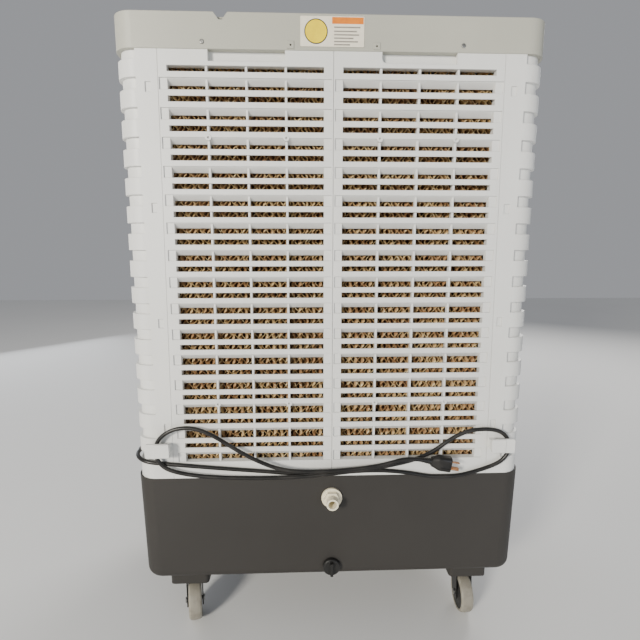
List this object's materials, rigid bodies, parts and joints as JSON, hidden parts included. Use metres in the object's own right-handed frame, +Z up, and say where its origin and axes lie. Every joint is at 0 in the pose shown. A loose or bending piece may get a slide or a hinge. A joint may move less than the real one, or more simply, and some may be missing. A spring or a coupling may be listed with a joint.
{
  "type": "evaporative cooler",
  "caption": "Portable evaporative air cooler on swivel casters: wetted pads behind slotted rear grilles, water tank below, axial fan and tilting louvres in front.",
  "frame": {"origin": "on the floor under the middle of the cabinet", "axes": "+Z up, air enters through the rear grilles facing -Y and leaves through the louvres facing +Y, +X to the right as seen from behind"},
  "size_m": [0.7991, 0.546, 1.228],
  "materials": {
    "shell_white": "satin, fine grain",
    "cap_grey": "satin, fine grain",
    "tank_grey": "textured",
    "panel_dark": "textured",
    "pad_brown": "corrugated cellulose",
    "ivory_plastic": "satin",
    "black_plastic": "satin",
    "black_rubber": "satin",
    "inner_plastic": "satin",
    "fan_plastic": "satin",
    "motor_steel": "painted",
    "zinc_steel": "zinc plated",
    "clear_plastic": "clear",
    "hose_clear": "satin",
    "wheel_grey": "smooth",
    "brass": "bright",
    "float_white": "satin"
  },
  "bodies": {
    "cabinet": {"water_tank": "tank_grey", "level_window": "clear_plastic", "side_shell_left": "shell_white", "side_shell_right": "shell_white", "front_frame": "shell_white", "control_panel": "panel_dark", "top_cap": "cap_grey", "rear_grille_left": "shell_white", "rear_grille_right": "shell_white", "pad_left": "pad_brown", "pad_right": "pad_brown", "water_trough": "inner_plastic", "supply_hose": "hose_clear", "pump": "black_plastic", "inlet_spigot": "ivory_plastic", "float_valve": "ivory_plastic", "fan_shroud": "inner_plastic", "fan_motor": "motor_steel", "motor_bracket": "zinc_steel", "swing_motor": "motor_steel", "rotary_switches": "black_plastic", "body_screws": "zinc_steel", "caster_brackets": "tank_grey", "cord_hooks": "shell_white", "cord_gland": "black_rubber", "power_cord": "black_rubber", "plug_body": "black_rubber", "plug_pins": "brass"},
    "fan": {"fan_rotor": "fan_plastic", "fan_shaft": "zinc_steel"},
    "louvre_1": {"louvre_1": "cap_grey"},
    "louvre_2": {"louvre_2": "cap_grey"},
    "louvre_3": {"louvre_3": "cap_grey"},
    "louvre_4": {"louvre_4": "cap_grey"},
    "louvre_5": {"louvre_5": "cap_grey"},
    "louvre_link": {"louvre_link": "fan_plastic"},
    "vane_1": {"vane_1": "fan_plastic"},
    "vane_2": {"vane_2": "fan_plastic"},
    "vane_3": {"vane_3": "fan_plastic"},
    "vane_4": {"vane_4": "fan_plastic"},
    "vane_5": {"vane_5": "fan_plastic"},
    "vane_link": {"vane_link": "fan_plastic"},
    "knob_speed": {"knob_speed": "black_plastic"},
    "knob_cool": {"knob_cool": "black_plastic"},
    "knob_swing": {"knob_swing": "black_plastic"},
    "fill_door": {"fill_door": "cap_grey"},
    "float_arm": {"float_arm": "float_white"},
    "drain_plug": {"drain_plug": "black_plastic"},
    "caster_rear_left": {"caster_fork_rear_left": "black_plastic", "caster_axle_rear_left": "zinc_steel"},
    "wheel_rear_left": {"caster_wheel_rear_left": "wheel_grey"},
    "caster_rear_right": {"caster_fork_rear_right": "black_plastic", "caster_axle_rear_right": "zinc_steel"},
    "wheel_rear_right": {"caster_wheel_rear_right": "wheel_grey"},
    "caster_front_left": {"caster_fork_front_left": "black_plastic", "caster_axle_front_left": "zinc_steel"},
    "wheel_front_left": {"caster_wheel_front_left": "wheel_grey"},
    "caster_front_right": {"caster_fork_front_right": "black_plastic", "caster_axle_front_right": "zinc_steel"},
    "wheel_front_right": {"caster_wheel_front_right": "wheel_grey"}
  },
  "joints": [
    {"name": "fan_spin", "type": "hinge", "parent": "cabinet", "child": "fan", "pos_m": [0, 0.095, 0.8], "axis": [0, 1, 0], "continuous": true},
    {"name": "louvre_1_tilt", "type": "hinge", "parent": "cabinet", "child": "louvre_1", "pos_m": [0, 0.212, 0.624], "axis": [1, 0, 0], "range_deg": [-35, 35]},
    {"name": "louvre_2_tilt", "type": "hinge", "parent": "cabinet", "child": "louvre_2", "pos_m": [0, 0.212, 0.712], "axis": [1, 0, 0], "range_deg": [-35, 35]},
    {"name": "louvre_3_tilt", "type": "hinge", "parent": "cabinet", "child": "louvre_3", "pos_m": [0, 0.212, 0.8], "axis": [1, 0, 0], "range_deg": [-35, 35]},
    {"name": "louvre_4_tilt", "type": "hinge", "parent": "cabinet", "child": "louvre_4", "pos_m": [0, 0.212, 0.888], "axis": [1, 0, 0], "range_deg": [-35, 35]},
    {"name": "louvre_5_tilt", "type": "hinge", "parent": "cabinet", "child": "louvre_5", "pos_m": [0, 0.212, 0.976], "axis": [1, 0, 0], "range_deg": [-35, 35]},
    {"name": "louvre_link_pivot", "type": "hinge", "parent": "louvre_3", "child": "louvre_link", "pos_m": [-0.252, 0.192, 0.8], "axis": [1, 0, 0], "range_deg": [-35, 35]},
    {"name": "vane_1_swing", "type": "hinge", "parent": "cabinet", "child": "vane_1", "pos_m": [-0.216, 0.155, 0.8], "axis": [0, 0, 1], "range_deg": [-35, 35]},
    {"name": "vane_2_swing", "type": "hinge", "parent": "cabinet", "child": "vane_2", "pos_m": [-0.108, 0.155, 0.8], "axis": [0, 0, 1], "range_deg": [-35, 35]},
    {"name": "vane_3_swing", "type": "hinge", "parent": "cabinet", "child": "vane_3", "pos_m": [0, 0.155, 0.8], "axis": [0, 0, 1], "range_deg": [-35, 35]},
    {"name": "vane_4_swing", "type": "hinge", "parent": "cabinet", "child": "vane_4", "pos_m": [0.108, 0.155, 0.8], "axis": [0, 0, 1], "range_deg": [-35, 35]},
    {"name": "vane_5_swing", "type": "hinge", "parent": "cabinet", "child": "vane_5", "pos_m": [0.216, 0.155, 0.8], "axis": [0, 0, 1], "range_deg": [-35, 35]},
    {"name": "vane_link_pivot", "type": "hinge", "parent": "vane_3", "child": "vane_link", "pos_m": [0, 0.141, 1], "axis": [0, 0, 1], "range_deg": [-35, 35]},
    {"name": "knob_speed_turn", "type": "hinge", "parent": "cabinet", "child": "knob_speed", "pos_m": [-0.15, 0.245, 1.1], "axis": [0, -1, 0], "range_deg": [0, 270]},
    {"name": "knob_cool_turn", "type": "hinge", "parent": "cabinet", "child": "knob_cool", "pos_m": [0, 0.245, 1.1], "axis": [0, -1, 0], "range_deg": [0, 90]},
    {"name": "knob_swing_turn", "type": "hinge", "parent": "cabinet", "child": "knob_swing", "pos_m": [0.15, 0.245, 1.1], "axis": [0, -1, 0], "range_deg": [0, 90]},
    {"name": "fill_door_hinge", "type": "hinge", "parent": "cabinet", "child": "fill_door", "pos_m": [0.17, 0.236, 0.24], "axis": [-1, 0, 0], "range_deg": [0, 60]},
    {"name": "float_arm_hinge", "type": "hinge", "parent": "cabinet", "child": "float_arm", "pos_m": [0, -0.19, 0.316], "axis": [1, 0, 0], "range_deg": [0, 45]},
    {"name": "drain_plug_pull", "type": "slide", "parent": "cabinet", "child": "drain_plug", "axis": [0, -1, 0], "range_m": [0, 0.05]},
    {"name": "caster_rear_left_swivel", "type": "hinge", "parent": "cabinet", "child": "caster_rear_left", "pos_m": [-0.307, -0.163, 0.098], "axis": [0, 0, 1], "continuous": true},
    {"name": "wheel_rear_left_roll", "type": "hinge", "parent": "caster_rear_left", "child": "wheel_rear_left", "pos_m": [-0.30385, -0.17664, 0.042], "axis": [0.9744, 0.225, 0], "continuous": true},
    {"name": "caster_rear_right_swivel", "type": "hinge", "parent": "cabinet", "child": "caster_rear_right", "pos_m": [0.307, -0.163, 0.098], "axis": [0, 0, 1], "continuous": true},
    {"name": "wheel_rear_right_roll", "type": "hinge", "parent": "caster_rear_right", "child": "wheel_rear_right", "pos_m": [0.307, -0.177, 0.042], "axis": [1, 0, 0], "continuous": true},
    {"name": "caster_front_left_swivel", "type": "hinge", "parent": "cabinet", "child": "caster_front_left", "pos_m": [-0.307, 0.163, 0.098], "axis": [0, 0, 1], "continuous": true},
    {"name": "wheel_front_left_roll", "type": "hinge", "parent": "caster_front_left", "child": "wheel_front_left", "pos_m": [-0.307, 0.149, 0.042], "axis": [1, 0, 0], "continuous": true},
    {"name": "caster_front_right_swivel", "type": "hinge", "parent": "cabinet", "child": "caster_front_right", "pos_m": [0.307, 0.163, 0.098], "axis": [0, 0, 1], "continuous": true},
    {"name": "wheel_front_right_roll", "type": "hinge", "parent": "caster_front_right", "child": "wheel_front_right", "pos_m": [0.307, 0.149, 0.042], "axis": [1, 0, 0], "continuous": true}
  ],
  "couplings": [
    {"joint": "louvre_1_tilt", "follows": "louvre_3_tilt", "ratio": 1},
    {"joint": "louvre_2_tilt", "follows": "louvre_3_tilt", "ratio": 1},
    {"joint": "louvre_4_tilt", "follows": "louvre_3_tilt", "ratio": 1},
    {"joint": "louvre_5_tilt", "follows": "louvre_3_tilt", "ratio": 1},
    {"joint": "louvre_link_pivot", "follows": "louvre_3_tilt", "ratio": -1},
    {"joint": "vane_1_swing", "follows": "vane_3_swing", "ratio": 1},
    {"joint": "vane_2_swing", "follows": "vane_3_swing", "ratio": 1},
    {"joint": "vane_4_swing", "follows": "vane_3_swing", "ratio": 1},
    {"joint": "vane_5_swing", "follows": "vane_3_swing", "ratio": 1},
    {"joint": "vane_link_pivot", "follows": "vane_3_swing", "ratio": -1}
  ]
}
